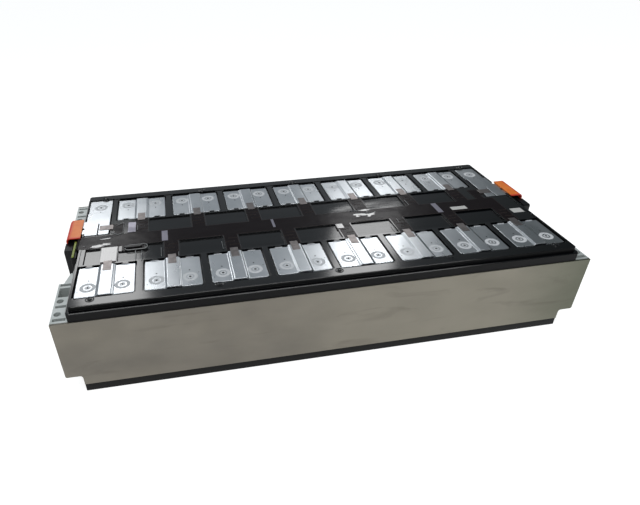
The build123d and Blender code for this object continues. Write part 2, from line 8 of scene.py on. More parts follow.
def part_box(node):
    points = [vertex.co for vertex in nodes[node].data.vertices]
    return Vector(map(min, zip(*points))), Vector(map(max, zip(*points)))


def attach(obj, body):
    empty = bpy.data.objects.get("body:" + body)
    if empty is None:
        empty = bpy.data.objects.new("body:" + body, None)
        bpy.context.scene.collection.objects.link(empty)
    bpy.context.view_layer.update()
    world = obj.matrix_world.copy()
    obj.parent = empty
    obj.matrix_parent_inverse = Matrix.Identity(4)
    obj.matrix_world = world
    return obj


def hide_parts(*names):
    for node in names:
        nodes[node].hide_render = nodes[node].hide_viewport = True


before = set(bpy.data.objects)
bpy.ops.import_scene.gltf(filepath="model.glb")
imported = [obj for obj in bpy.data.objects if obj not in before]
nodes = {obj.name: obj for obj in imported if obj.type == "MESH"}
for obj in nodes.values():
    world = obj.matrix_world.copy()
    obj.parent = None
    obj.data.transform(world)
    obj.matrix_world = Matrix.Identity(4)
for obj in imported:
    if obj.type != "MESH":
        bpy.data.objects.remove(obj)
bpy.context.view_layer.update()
scene = bpy.context.scene
MM = 0.001

# Camera
# A phone-like lens held above the near left corner, so the left end looms and the row runs away.
# The lens shift stands in for a crop, which keeps the lean of the upright edges.
camera_data = bpy.data.cameras.new("view_camera")
camera_data.sensor_width = 36.0
camera_data.lens = 29.181
camera_data.shift_x = 0.0697
camera_data.shift_y = 0.0353
camera = bpy.data.objects.new("view_camera", camera_data)
scene.collection.objects.link(camera)
camera_right = Vector((0.9810, -0.1939, -0.0054))
camera_forward = Vector((0.1569, 0.8098, -0.5654)).normalized()
camera_right = (camera_right - camera_forward * camera_right.dot(camera_forward)).normalized()
camera_up = camera_right.cross(camera_forward)
camera.matrix_world = Matrix.Translation((-0.1533, -0.5479, 0.4153)) @ Matrix(
    (camera_right, camera_up, -camera_forward)
).transposed().to_4x4()
scene.camera = camera


# Light and floor
# A white sweep of card under a dim studio sky, darker to the right. Two soft windows beyond the module
# show in its glossy top: one over the left end and one beyond the middle.
def linear(code):
    """Turns an sRGB hex colour into linear RGBA."""
    parts = [int(code[i : i + 2], 16) / 255 for i in (1, 3, 5)]
    return tuple(p / 12.92 if p <= 0.04045 else ((p + 0.055) / 1.055) ** 2.4 for p in parts) + (1.0,)


def add(tree, kind, links=(), **settings):
    """Adds one node. Settings named in_NAME fill sockets, the others are properties; links feed sockets."""
    node = tree.nodes.new(kind)
    for name, value in settings.items():
        if not name.startswith("in_"):
            setattr(node, name, value)
    for name, value in settings.items():
        if name.startswith("in_"):
            key = name[3:]
            socket = node.inputs[int(key) if key.isdigit() else key.replace("_", " ")]
            socket.default_value = value
    for source, target in links:
        tree.links.new(source, node.inputs[target])
    return node


def lamp(name, place, aim, size, brightness):
    """A rectangular soft lamp that points at a spot on the object; brightness is what its face looks like."""
    data = bpy.data.lights.new(name, "AREA")
    data.shape = "RECTANGLE"
    data.size, data.size_y = size
    data.energy = brightness * math.pi * size[0] * size[1]
    holder = bpy.data.objects.new(name, data)
    holder.location = place
    holder.rotation_euler = (Vector(aim) - Vector(place)).to_track_quat("-Z", "Y").to_euler()
    scene.collection.objects.link(holder)


lamp("left_window", (-0.465, 1.16, 0.96), (-0.465, 0.0, 0.96), (0.26, 0.42), 5.6)
lamp("middle_window", (0.55, 1.16, 0.95), (0.55, 0.0, 0.95), (0.265, 0.42), 5.6)
lamp("front_fill", (0.1, -1.7, 1.3), (0, 0, 0.05), (1.6, 0.5), 3.2)
lamp("ceiling_strip", (0.0, -0.45, 1.7), (0.0, -0.1, 0.1), (2.2, 0.12), 8.0)

world = bpy.data.worlds.new("studio_sky")
world.use_nodes = True
tree = world.node_tree
where = add(tree, "ShaderNodeTexCoord")
apart = add(tree, "ShaderNodeSeparateXYZ", [(where.outputs["Generated"], 0)])
across = add(tree, "ShaderNodeMapRange", [(apart.outputs["X"], "Value")], in_From_Min=0.30, in_From_Max=0.62)
tone = add(tree, "ShaderNodeMix", [(across.outputs[0], 0)], data_type="RGBA")
tone.inputs[6].default_value = linear("#a0a6ab")
tone.inputs[7].default_value = linear("#4b5152")
tree.links.new(tone.outputs[2], tree.nodes["Background"].inputs["Color"])
tree.nodes["Background"].inputs["Strength"].default_value = 1.0
scene.world = world

floor_reach = 30.0
floor_level = -0.0004
floor_mesh = bpy.data.meshes.new("floor")
floor_signs = ((-1, -1), (1, -1), (1, 1), (-1, 1))
floor_corners = [(sx * floor_reach, sy * floor_reach, floor_level) for sx, sy in floor_signs]
floor_mesh.from_pydata(floor_corners, [], [(0, 1, 2, 3)])
floor = bpy.data.objects.new("floor", floor_mesh)
scene.collection.objects.link(floor)
# White card: matt where it catches shadow, and bright to the eye and in reflections so that it stays white.
card = bpy.data.materials.new("white_card")
card.use_nodes = True
tree = card.node_tree
tree.nodes.clear()
plain = add(tree, "ShaderNodeBsdfDiffuse", in_Color=linear("#c8c8c6"))
glow = add(tree, "ShaderNodeEmission", in_Color=linear("#ffffff"), in_Strength=0.80)
seen = add(tree, "ShaderNodeAddShader", [(plain.outputs[0], 0), (glow.outputs[0], 1)])
ray = add(tree, "ShaderNodeLightPath")
direct = add(
    tree, "ShaderNodeMath", [(ray.outputs["Is Camera Ray"], 0), (ray.outputs["Is Glossy Ray"], 1)],
    operation="ADD", use_clamp=True,
)
shown = add(
    tree, "ShaderNodeMath", [(direct.outputs[0], 0), (ray.outputs["Is Transmission Ray"], 1)],
    operation="ADD", use_clamp=True,
)
choose = add(
    tree, "ShaderNodeMixShader", [(shown.outputs[0], 0), (plain.outputs[0], 1), (seen.outputs[0], 2)]
)
add(tree, "ShaderNodeOutputMaterial", [(choose.outputs[0], "Surface")])
floor_mesh.materials.append(card)


# Cells, spacers and pad
# Sixteen drawn aluminium cans stand in a row on a silicone gap pad. Foam sheets between them take up
# their swelling, and the tray hides nearly all of it.
def new_material(name, colour, metallic, roughness, **sockets):
    """A Principled material and its tree; the extra settings fill sockets of the shader itself."""
    material = bpy.data.materials.new(name)
    material.use_nodes = True
    tree = material.node_tree
    shader = tree.nodes["Principled BSDF"]
    shader.inputs["Base Color"].default_value = linear(colour)
    shader.inputs["Metallic"].default_value = metallic
    shader.inputs["Roughness"].default_value = roughness
    for key, value in sockets.items():
        shader.inputs[key.replace("_", " ")].default_value = value
    return material, tree, shader


# Rolling lines, die lines and moulded texture are finer in truth than the sizes given to this function.
# They are drawn coarser so that they stay visible and don't turn into noise at a distance.
def grain(tree, shader, size_mm, strength, stretch=(1, 1, 1), depth_mm=0.05, detail=3.0):
    """A noise bump whose grain is size_mm across, stretched along an axis by the given factors."""
    scale = tuple(1 / (size_mm * MM * factor) for factor in stretch)
    place = add(tree, "ShaderNodeTexCoord")
    point = add(tree, "ShaderNodeMapping", [(place.outputs["Object"], "Vector")], in_Scale=scale)
    field = add(
        tree, "ShaderNodeTexNoise", [(point.outputs[0], "Vector")], in_Scale=1.0, in_Detail=detail
    )
    bump = add(
        tree, "ShaderNodeBump", [(field.outputs[0], "Height")], in_Strength=strength,
        in_Distance=depth_mm * MM,
    )
    tree.links.new(bump.outputs[0], shader.inputs["Normal"])


def blotch(
    tree, shader, low, high, size_mm, stretch=(1, 1, 1), detail=4.0, span=(0.35, 0.65), target="Base Color"
):
    """Mixes two colours, or two greys for roughness, by a noise whose patches are size_mm across."""
    scale = tuple(1 / (size_mm * MM * factor) for factor in stretch)
    place = add(tree, "ShaderNodeTexCoord")
    point = add(tree, "ShaderNodeMapping", [(place.outputs["Object"], "Vector")], in_Scale=scale)
    field = add(
        tree, "ShaderNodeTexNoise", [(point.outputs[0], "Vector")], in_Scale=1.0, in_Detail=detail
    )
    ramp = add(
        tree, "ShaderNodeMapRange", [(field.outputs[0], "Value")], in_From_Min=span[0], in_From_Max=span[1]
    )
    if target != "Base Color":
        ramp.inputs["To Min"].default_value, ramp.inputs["To Max"].default_value = low, high
        tree.links.new(ramp.outputs[0], shader.inputs[target])
        return
    mix = add(tree, "ShaderNodeMix", [(ramp.outputs[0], 0)], data_type="RGBA")
    mix.inputs[6].default_value, mix.inputs[7].default_value = linear(low), linear(high)
    tree.links.new(mix.outputs[2], shader.inputs[target])


def over(tree, shader, mask, colour):
    """Lays another colour over the shader's present one wherever the mask is white."""
    mix = add(tree, "ShaderNodeMix", [(mask, 0)], data_type="RGBA")
    tree.links.new(shader.inputs["Base Color"].links[0].from_socket, mix.inputs[6])
    mix.inputs[7].default_value = linear(colour)
    tree.links.new(mix.outputs[2], shader.inputs["Base Color"])


def toned(tree, shader, axis, start, end, colour, mirrored=True):
    """Shades the colour over between two distances along an axis, the same at both ends when mirrored."""
    place = add(tree, "ShaderNodeTexCoord")
    apart = add(tree, "ShaderNodeSeparateXYZ", [(place.outputs["Object"], 0)])
    reach = apart.outputs[axis]
    if mirrored:
        reach = add(tree, "ShaderNodeMath", [(reach, 0)], operation="ABSOLUTE").outputs[0]
    mask = add(tree, "ShaderNodeMapRange", [(reach, "Value")], in_From_Min=start, in_From_Max=end)
    over(tree, shader, mask.outputs[0], colour)


def finish_nodes(material, *names):
    """Gives CAD nodes their material."""
    for name in names:
        nodes[name].data.materials.clear()
        nodes[name].data.materials.append(material)


# Drawn aluminium: satin grey with faint upright drawing lines.
cell_names = [f"cell_{number:02d}" for number in range(1, 17)]
can, tree, shader = new_material("drawn_aluminium_can", "#b4b6b8", 1.0, 0.35)
grain(tree, shader, 0.6, 0.3, stretch=(1, 1, 20))
finish_nodes(can, *cell_names)
# Closed-cell foam: dull, dark and evenly pitted, so it gives no highlight.
foam, tree, shader = new_material("closed_cell_foam", "#2f3134", 0.0, 0.9)
grain(tree, shader, 0.5, 0.6)
finish_nodes(foam, "cell_spacers")
# Silicone pad: matt blue grey with a soft skin.
pad, tree, shader = new_material("silicone_gap_pad", "#73808c", 0.0, 0.7)
grain(tree, shader, 1.2, 0.3)
finish_nodes(pad, "thermal_pad")


# Bottom pan
# A shallow aluminium pan under the cells, pressed from sheet and coated black against corrosion.
# Only its edge shows, as a black strip along the floor.
def dressed(node, width_mm, material, slot, name=None, segments=2, angle=25.0):
    """A piece made from a CAD node's own shape, with its edges eased by a small bevel."""
    mesh = nodes[node].data.copy()
    shape = bmesh.new()
    shape.from_mesh(mesh)
    bmesh.ops.remove_doubles(shape, verts=shape.verts, dist=0.002 * MM)
    bmesh.ops.dissolve_limit(
        shape, angle_limit=math.radians(0.4), verts=shape.verts, edges=shape.edges,
        use_dissolve_boundaries=False,
    )
    shape.to_mesh(mesh)
    shape.free()
    mesh.shade_smooth()
    rough_piece = bpy.data.objects.new(node + "_blank", mesh)
    scene.collection.objects.link(rough_piece)
    bevel = rough_piece.modifiers.new("eased_edges", "BEVEL")
    bevel.width = width_mm * MM
    bevel.segments = segments
    bevel.limit_method = "ANGLE"
    bevel.angle_limit = math.radians(angle)
    bevel.use_clamp_overlap = True
    weighted = rough_piece.modifiers.new("flat_faces_stay_flat", "WEIGHTED_NORMAL")
    weighted.weight = 100
    return settled(rough_piece, name or node + "_finished", material, slot, node, smooth_angle=None)


def settled(source, name, material, slot, *replaced, smooth_angle=32.0):
    """Turns an object with live modifiers into a plain mesh piece that rides on the root body."""
    graph = bpy.context.evaluated_depsgraph_get()
    mesh = bpy.data.meshes.new_from_object(source.evaluated_get(graph), depsgraph=graph)
    mesh.name = name
    mesh.materials.clear()
    mesh.materials.append(material)
    for face in mesh.polygons:
        face.material_index = 0
    if smooth_angle is not None:
        mesh.shade_smooth()
        mesh.set_sharp_from_angle(angle=math.radians(smooth_angle))
    piece = bpy.data.objects.new(name, mesh)
    scene.collection.objects.link(piece)
    bpy.data.objects.remove(source)
    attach(piece, "root")
    if replaced:
        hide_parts(*replaced)
    return piece


# Cathodic dip coat: thin even black with a soft sheen and no sharp highlight.
pan_coat, tree, shader = new_material("black_cathodic_coat", "#0b0b0b", 0.0, 0.5, Specular_IOR_Level=0.18)
grain(tree, shader, 1.5, 0.25)
dressed("bottom_pan", 0.5, pan_coat, "pan_sheet")

# Side plates
# Rolled aluminium sheets glued along both sides of the row hold the cells together, with their lower
# corners cut back at both ends.
# Rolled sheet: dull grey beige, clouded by handling, with rolling lines along the row and darker smears.
side_metal, tree, shader = new_material("rolled_aluminium_sheet", "#6c6860", 1.0, 0.5)
blotch(tree, shader, "#75716a", "#858076", 55.0, stretch=(1.6, 1, 1), detail=6.0, span=(0.3, 0.7))
# Painted reflection along the row: the sheet is painted lighter from the middle towards the right, and darker
# again at its right end.
toned(tree, shader, "X", -0.10, 0.16, "#8a867b", mirrored=False)
toned(tree, shader, "X", 0.20, 0.30, "#6a6c5f", mirrored=False)
smear_place = add(tree, "ShaderNodeTexCoord")
smear_scale = (12, 30, 60)
smear_point = add(
    tree, "ShaderNodeMapping", [(smear_place.outputs["Object"], "Vector")], in_Scale=smear_scale
)
smear = add(
    tree, "ShaderNodeTexNoise", [(smear_point.outputs[0], "Vector")], in_Scale=1.0, in_Detail=4.0,
    in_Distortion=0.8,
)
patches = add(tree, "ShaderNodeMapRange", [(smear.outputs[0], "Value")], in_From_Min=0.60, in_From_Max=0.78)
faint = add(tree, "ShaderNodeMath", [(patches.outputs[0], 0)], in_1=0.45, operation="MULTIPLY")
over(tree, shader, faint.outputs[0], "#5c564f")
blotch(tree, shader, 0.46, 0.56, 30.0, stretch=(2.0, 1, 1), target="Roughness")
grain(tree, shader, 0.7, 0.3, stretch=(30, 1, 1))
for side in ("near", "far"):
    dressed("side_plate_" + side, 0.35, side_metal, "side_sheet")

# Insulation
# Thin black polyester film, cut from a roll and laid between cans and plates.
# Only its cut edge shows, as a dark line.
# Polyester film: smooth black with a weak sheen.
film, tree, shader = new_material("black_polyester_film", "#0c0c0e", 0.0, 0.35, Specular_IOR_Level=0.25)
grain(tree, shader, 2.0, 0.2)
finish_nodes(film, "side_film_near", "side_film_far", "end_insulator_left", "end_insulator_right")

# End plates
# Sawn lengths of an aluminium extrusion, stood upright and joined to the side plates at each end.
# Slots and a hollow in each corner block save weight, and two upright holes take the bolts.
# Extruded aluminium: pale satin, half dulled by oxide, with fine upright die lines.
end_metal, tree, shader = new_material("extruded_aluminium", "#c0c5c2", 0.4, 0.5)
blotch(tree, shader, "#c8cdca", "#dadedc", 18.0)
grain(tree, shader, 0.5, 0.3, stretch=(1, 1, 60))
for end in ("left", "right"):
    dressed("end_plate_" + end, 0.4, end_metal, "end_extrusion")

# Busbar tray
# One glossy black polycarbonate moulding that wraps the cells' top edges and pockets every busbar.
# Heat staked rivets along both rims hold it down, and snap hooks grip the bars' edges.
circuit_thickness = 0.6 * MM
bar_thickness = 2.0 * MM
rim_inset = 4.5 * MM
deck_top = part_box("band_label")[0].z - circuit_thickness
rim_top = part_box("busbar_tray")[1].z
skirt_top = rim_top - 5.1 * MM
pad_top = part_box("near_busbar_1")[0].z + bar_thickness
# Moulded polycarbonate: deep black and glossy, so the windows and the sky stand in it.
tray_plastic, tree, shader = new_material(
    "moulded_polycarbonate", "#050608", 0.0, 0.13, Specular_IOR_Level=0.48
)
grain(tree, shader, 22.0, 0.08, depth_mm=0.3, detail=1.0)
# Spark-textured polycarbonate: the mould's outer walls are eroded, so these faces are dull and dark.
skirt_plastic, tree, shader = new_material(
    "spark_textured_polycarbonate", "#0c0c0d", 0.0, 0.5, Specular_IOR_Level=0.15
)
grain(tree, shader, 0.8, 0.35)
tray = dressed("busbar_tray", 0.5, tray_plastic, "tray_moulding", segments=3)
tray.data.materials.append(skirt_plastic)
low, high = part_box("busbar_tray")
outer_depth = 6 * MM
upright_limit = 0.15
for face in tray.data.polygons:
    outward = max(
        abs(face.center.x) - high.x + outer_depth, abs(face.center.y) - high.y + outer_depth
    )
    if abs(face.normal.z) < upright_limit and outward > 0:
        face.material_index = 1


def scatter(name, places, shape, material, slot, **sizes):
    """Sets one copy of a shape at each place; the rule's inputs carry the shape's sizes in metres."""
    rule = bpy.data.node_groups.new(name + "_rule", "GeometryNodeTree")
    rule.interface.new_socket("Places", in_out="INPUT", socket_type="NodeSocketGeometry")
    keys = {
        label: rule.interface.new_socket(label, in_out="INPUT", socket_type="NodeSocketFloat").identifier
        for label in sizes
    }
    rule.interface.new_socket("Result", in_out="OUTPUT", socket_type="NodeSocketGeometry")
    entry = add(rule, "NodeGroupInput")
    form = shape(rule, entry)
    dots = add(rule, "GeometryNodeMeshToPoints", [(entry.outputs["Places"], 0)])
    copies = add(rule, "GeometryNodeInstanceOnPoints", [(dots.outputs[0], "Points"), (form, "Instance")])
    whole = add(rule, "GeometryNodeRealizeInstances", [(copies.outputs[0], 0)])
    coated = add(rule, "GeometryNodeSetMaterial", [(whole.outputs[0], 0)], in_Material=material)
    add(rule, "NodeGroupOutput", [(coated.outputs[0], 0)])
    mesh = bpy.data.meshes.new(name + "_places")
    mesh.from_pydata(places, [], [])
    source = bpy.data.objects.new(name + "_places", mesh)
    scene.collection.objects.link(source)
    modifier = source.modifiers.new("rule", "NODES")
    modifier.node_group = rule
    for label, size in sizes.items():
        modifier[keys[label]] = size
    return settled(source, name, material, slot)


def ring(rule, entry):
    """A flattened bead that runs round a circle: inputs radius, half_width and height."""
    path = add(
        rule, "GeometryNodeCurvePrimitiveCircle", [(entry.outputs["radius"], "Radius")], in_Resolution=40
    )
    bead = add(
        rule, "GeometryNodeCurvePrimitiveCircle", [(entry.outputs["half_width"], "Radius")], in_Resolution=8
    )
    tube = add(rule, "GeometryNodeCurveToMesh", [(path.outputs[0], 0), (bead.outputs[0], 1)])
    flat = add(
        rule, "ShaderNodeMath", [(entry.outputs["height"], 0), (entry.outputs["half_width"], 1)],
        operation="DIVIDE",
    )
    squash = add(rule, "ShaderNodeCombineXYZ", [(flat.outputs[0], "Z")], in_X=1.0, in_Y=1.0)
    return add(rule, "GeometryNodeTransform", [(tube.outputs[0], 0), (squash.outputs[0], "Scale")]).outputs[0]


def disc(rule, entry):
    """A thin round disc: inputs radius and depth."""
    return add(
        rule, "GeometryNodeMeshCylinder",
        [(entry.outputs["radius"], "Radius"), (entry.outputs["depth"], "Depth")], in_Vertices=20,
    ).outputs[0]


def block(rule, entry):
    """A small block: inputs length, width and depth."""
    size = add(
        rule, "ShaderNodeCombineXYZ",
        [(entry.outputs["length"], "X"), (entry.outputs["width"], "Y"), (entry.outputs["depth"], "Z")],
    )
    return add(rule, "GeometryNodeMeshCube", [(size.outputs[0], "Size")]).outputs[0]


def dome(rule, entry):
    """A low dome: inputs radius and height."""
    ball = add(
        rule, "GeometryNodeMeshUVSphere", [(entry.outputs["radius"], "Radius")], in_Segments=20, in_Rings=8
    )
    flat = add(
        rule, "ShaderNodeMath", [(entry.outputs["height"], 0), (entry.outputs["radius"], 1)],
        operation="DIVIDE",
    )
    squash = add(rule, "ShaderNodeCombineXYZ", [(flat.outputs[0], "Z")], in_X=1.0, in_Y=1.0)
    return add(rule, "GeometryNodeTransform", [(ball.outputs[0], 0), (squash.outputs[0], "Scale")]).outputs[0]


def chamfer_strip(name, reach, low_edge, high_edge, material, slot):
    """A flat narrow chamfer along the row, from its lower edge to its upper edge, each given as (y, z)."""
    points = [(end * reach, y, z) for end in (-1, 1) for y, z in (low_edge, high_edge)]
    mesh = bpy.data.meshes.new(name + "_flat")
    order = (0, 2, 3, 1) if low_edge[0] < high_edge[0] else (0, 1, 3, 2)
    mesh.from_pydata(points, [], [order])
    source = bpy.data.objects.new(name + "_flat", mesh)
    scene.collection.objects.link(source)
    skin = source.modifiers.new("thickness", "SOLIDIFY")
    skin.thickness = 0.4 * MM
    skin.offset = -1.0
    return settled(source, name, material, slot)


skirt_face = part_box("busbar_tray")[1].y
chamfer_run, chamfer_rise = 0.85 * MM, 0.55 * MM
chamfer_proud, chamfer_lift = 0.25 * MM, 0.02 * MM
rim_reach, skirt_reach = 0.272, 0.275
for side, label in ((-1, "near"), (1, "far")):
    for part, face, top, reach in (
        ("rim", skirt_face - rim_inset, rim_top, rim_reach), ("skirt", skirt_face, skirt_top, skirt_reach)
    ):
        chamfer_strip(
            f"{part}_chamfer_{label}", reach, (side * (face + chamfer_proud), top - chamfer_rise),
            (side * (face + chamfer_proud - chamfer_run), top + chamfer_lift), tray_plastic, "tray_moulding",
        )
rivet_spacing = 127.5 * MM
rivet_row = 113.6 * MM
rivet_places = [
    (step * rivet_spacing, side * rivet_row, rim_top) for step in range(-2, 3) for side in (-1, 1)
]
scatter("rivet_heads", rivet_places, dome, tray_plastic, "tray_moulding", radius=2.6 * MM, height=0.9 * MM)
scatter(
    "rivet_collars", rivet_places, ring, tray_plastic, "tray_moulding",
    radius=3.9 * MM, half_width=0.6 * MM, height=0.45 * MM,
)

# Busbars
# Rolled aluminium strip, sheared and then arched over the gap between two cells. Both pads are welded
# flat to the terminals, and the two output bars end in a tongue.
# Rolled aluminium: bright satin that mirrors the windows softly, with rolling lines across the row.
bar_metal, tree, shader = new_material("rolled_busbar_aluminium", "#c4c8ca", 1.0, 0.3)
blotch(tree, shader, "#bfc3c6", "#cacdd0", 26.0)
blotch(tree, shader, 0.27, 0.33, 14.0, stretch=(1, 3, 1), target="Roughness")
grain(tree, shader, 1.4, 0.03, stretch=(1, 40, 1), depth_mm=0.02)
near_bars = [f"near_busbar_{number}" for number in range(1, 9)]
far_bars = [f"far_busbar_{number}" for number in range(1, 8)]
output_bars = ["output_busbar_left", "output_busbar_right"]
for name in near_bars + far_bars + output_bars:
    dressed(name, 0.8, bar_metal, "busbar_metal", segments=3)

# Laser welds
# A laser runs round in circles on each pad and leaves a pale raised seam. A pilot hole in its middle and
# a gauge hole beside it set the bar in place before welding.
pitch = 34.6 * MM
weld_row = 90.7 * MM
weld_places = []
for bars, side in ((near_bars, -1), (far_bars, 1)):
    for name in bars:
        low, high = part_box(name)
        middle = (low.x + high.x) / 2
        weld_places += [(middle + step * pitch / 2, side * weld_row, pad_top) for step in (-1, 1)]
output_weld_pitches = 7.5
weld_places += [(side * output_weld_pitches * pitch, weld_row, pad_top) for side in (-1, 1)]
# Weld seam: rough, pale and powdery, so it stays light where the pad round it is dark. The bar lips take it
# too, as a painted highlight.
weld_seam_and_lip_highlight, tree, shader = new_material("laser_weld_seam_and_lip_highlight", "#d4d6d8", 0.0, 0.85, Specular_IOR_Level=0.1)
grain(tree, shader, 0.9, 0.6, depth_mm=0.12)
scatter(
    "weld_rings", weld_places, ring, weld_seam_and_lip_highlight, "busbar_metal",
    radius=6.3 * MM, half_width=1.8 * MM, height=0.30 * MM,
)
scatter(
    "weld_centres", weld_places, ring, weld_seam_and_lip_highlight, "busbar_metal",
    radius=2.3 * MM, half_width=0.7 * MM, height=0.22 * MM,
)
# Painted shade: matt near black, laid flat on the metal where holes, cuts and creases would hold shade.
painted_hole_shade, tree, shader = new_material("painted_hole_and_groove_shade", "#1d1d1f", 0.0, 0.6)
grain(tree, shader, 0.4, 0.5)
scatter("pilot_holes", weld_places, disc, painted_hole_shade, "busbar_metal", radius=1.25 * MM, depth=0.16 * MM)
gauge_offset = 12.5 * MM
prick_x, prick_y = 9.5 * MM, 6.5 * MM
gauge_places = [(x, y - math.copysign(gauge_offset, y), z) for x, y, z in weld_places]
scatter("gauge_holes", gauge_places, disc, painted_hole_shade, "busbar_metal", radius=0.85 * MM, depth=0.12 * MM)
prick_places = [(x + end * prick_x, y + end * prick_y, z) for x, y, z in weld_places for end in (-1, 1)]
scatter("punch_marks", prick_places, disc, painted_hole_shade, "busbar_metal", radius=0.5 * MM, depth=0.1 * MM)

# Bar lips
# Short lips sheared up along the inner edge of every pad locate the bar in its pocket, and hooks moulded
# on the tray snap over them.
lip_places = []
lip_spread, lip_row, lip_lift = 19.0 * MM, 53.2 * MM, 0.2 * MM
hook_inset = 1.8 * MM
for bars, side in ((near_bars, -1), (far_bars, 1)):
    for name in bars:
        low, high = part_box(name)
        middle = (low.x + high.x) / 2
        lip_places += [(middle + step * lip_spread, side * lip_row, pad_top + lip_lift) for step in (-1, 1)]
# The lips are drawn in the pale weld material, a painted highlight for the light their sheared edges catch.
scatter(
    "bar_lips", lip_places, block, weld_seam_and_lip_highlight, "busbar_metal", length=8.5 * MM, width=0.8 * MM, depth=0.8 * MM
)
hook_places = [(x, y - math.copysign(hook_inset, y), z + lip_lift) for x, y, z in lip_places]
scatter(
    "snap_hooks", hook_places, block, tray_plastic, "tray_moulding",
    length=6.0 * MM, width=2.2 * MM, depth=1.2 * MM,
)


# Flexible circuit
# A polyimide laminate band lies along the tray's spine, with one slit branch to each bar. It is dark brown,
# glossy and gently rippled, with a paler cut edge.
def ripple(x, y):
    """Height of the loose laminate above its lowest lie, in metres."""
    wide = noise.noise(Vector((x / (30 * MM), y / (17 * MM), 3.1)))
    fine = noise.noise(Vector((x / (9 * MM), y / (8 * MM), 7.7)))
    return (0.22 * wide + 0.06 * fine + 0.25) * MM


def sheet_piece(name, inside, xs, ys, height, thickness, material, slot, *replaced):
    """A thin sheet of any stepped outline: the grid cells that lie inside, laid at a height and thickened."""
    corners, faces, edge_count = {}, [], {}
    for i in range(len(xs) - 1):
        for j in range(len(ys) - 1):
            if inside((xs[i] + xs[i + 1]) / 2, (ys[j] + ys[j + 1]) / 2):
                around = ((i, j), (i + 1, j), (i + 1, j + 1), (i, j + 1))
                cell = [corners.setdefault(corner, len(corners)) for corner in around]
                faces.append(cell)
                for a, b in zip(cell, cell[1:] + cell[:1]):
                    edge_count[frozenset((a, b))] = edge_count.get(frozenset((a, b)), 0) + 1
    points = [(xs[i], ys[j], height(xs[i], ys[j])) for i, j in corners]
    mesh = bpy.data.meshes.new(name + "_flat")
    mesh.from_pydata(points, [], faces)
    border = {corner for pair, count in edge_count.items() if count == 1 for corner in pair}
    rim = mesh.attributes.new("rim", "FLOAT", "POINT")
    rim.data.foreach_set("value", [float(corner in border) for corner in range(len(points))])
    source = bpy.data.objects.new(name + "_flat", mesh)
    scene.collection.objects.link(source)
    skin = source.modifiers.new("thickness", "SOLIDIFY")
    skin.thickness = thickness
    skin.offset = -1.0
    return settled(source, name, material, slot, *replaced)


def steps(*edges, pitch_mm=1.0):
    """Grid lines at every named edge, with even steps of about pitch_mm between them."""
    marks = sorted(set(round(e, 7) for e in edges))
    lines = [marks[0]]
    for low, high in zip(marks, marks[1:]):
        count = max(1, round((high - low) / (pitch_mm * MM)))
        lines += [low + (high - low) * step / count for step in range(1, count + 1)]
    return lines


def inside_boxes(boxes, holes=()):
    """A test for points inside any box and outside every hole; both are (x0, y0, x1, y1)."""
    return lambda x, y: any(a < x < c and b < y < d for a, b, c, d in boxes) and not any(
        a < x < c and b < y < d for a, b, c, d in holes
    )


low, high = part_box("sense_circuit")
band_half = 13.6 * MM
branch_half = 8.0 * MM
branch_end = 48.5 * MM
slit_rows = (22.0, 29.5, 37.0)
slit_reach, slit_half = 3.0 * MM, 0.5
circuit_boxes = [(low.x, -band_half, high.x, band_half)]
circuit_slits = []
for bars, side in ((near_bars, -1), (far_bars, 1)):
    for name in bars:
        bar_low, bar_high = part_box(name)
        middle = (bar_low.x + bar_high.x) / 2
        ends = sorted((side * band_half, side * branch_end))
        circuit_boxes.append((middle - branch_half, ends[0], middle + branch_half, ends[1]))
        for count, row in enumerate(slit_rows):
            open_side = 1 if count % 2 == 0 else -1
            slit = sorted((middle + open_side * branch_half, middle - open_side * slit_reach))
            circuit_slits.append(
                (slit[0], (side * row - slit_half) * MM, slit[1], (side * row + slit_half) * MM)
            )
hook_inner, hook_outer, hook_tip = 228.0 * MM, 239.0 * MM, 244.8 * MM
hook_near, hook_far = 25.0 * MM, 40.0 * MM
for side in (-1, 1):
    for inner, outer, bottom in ((hook_inner, hook_outer, band_half), (hook_inner, hook_tip, hook_near)):
        ends = sorted((side * inner, side * outer))
        circuit_boxes.append((ends[0], bottom, ends[1], hook_far))
ear_low, ear_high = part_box("temperature_sensor")
ear_margin, ear_tip = 2.5 * MM, 24.6 * MM
circuit_boxes.append((ear_low.x - ear_margin, -ear_tip, ear_high.x + ear_margin, -band_half))
# Polyimide laminate: very dark brown with a weak sheen, and a paler brown cut edge.
laminate, tree, shader = new_material("polyimide_laminate", "#120c0d", 0.0, 0.22, Specular_IOR_Level=0.07)
edge_mark = add(tree, "ShaderNodeAttribute", attribute_name="rim")
edge_fade = add(
    tree, "ShaderNodeMapRange", [(edge_mark.outputs["Fac"], 0)], in_From_Min=0.35, in_From_Max=0.95
)
edge_mix = add(tree, "ShaderNodeMix", [(edge_fade.outputs[0], 0)], data_type="RGBA")
edge_mix.inputs[6].default_value = linear("#171012")
edge_mix.inputs[7].default_value = linear("#3f3735")
tree.links.new(edge_mix.outputs[2], shader.inputs["Base Color"])
grain(tree, shader, 1.4, 0.12, stretch=(40, 1, 1), depth_mm=0.04)
cut_lines = circuit_boxes + circuit_slits
sheet_piece(
    "sense_circuit_finished", inside_boxes(circuit_boxes, circuit_slits),
    steps(*[edge for box in cut_lines for edge in (box[0], box[2])]),
    steps(*[edge for box in cut_lines for edge in (box[1], box[3])]),
    lambda x, y: deck_top + 0.1 * MM + ripple(x, y), 0.3 * MM, laminate, "circuit_film", "sense_circuit",
)

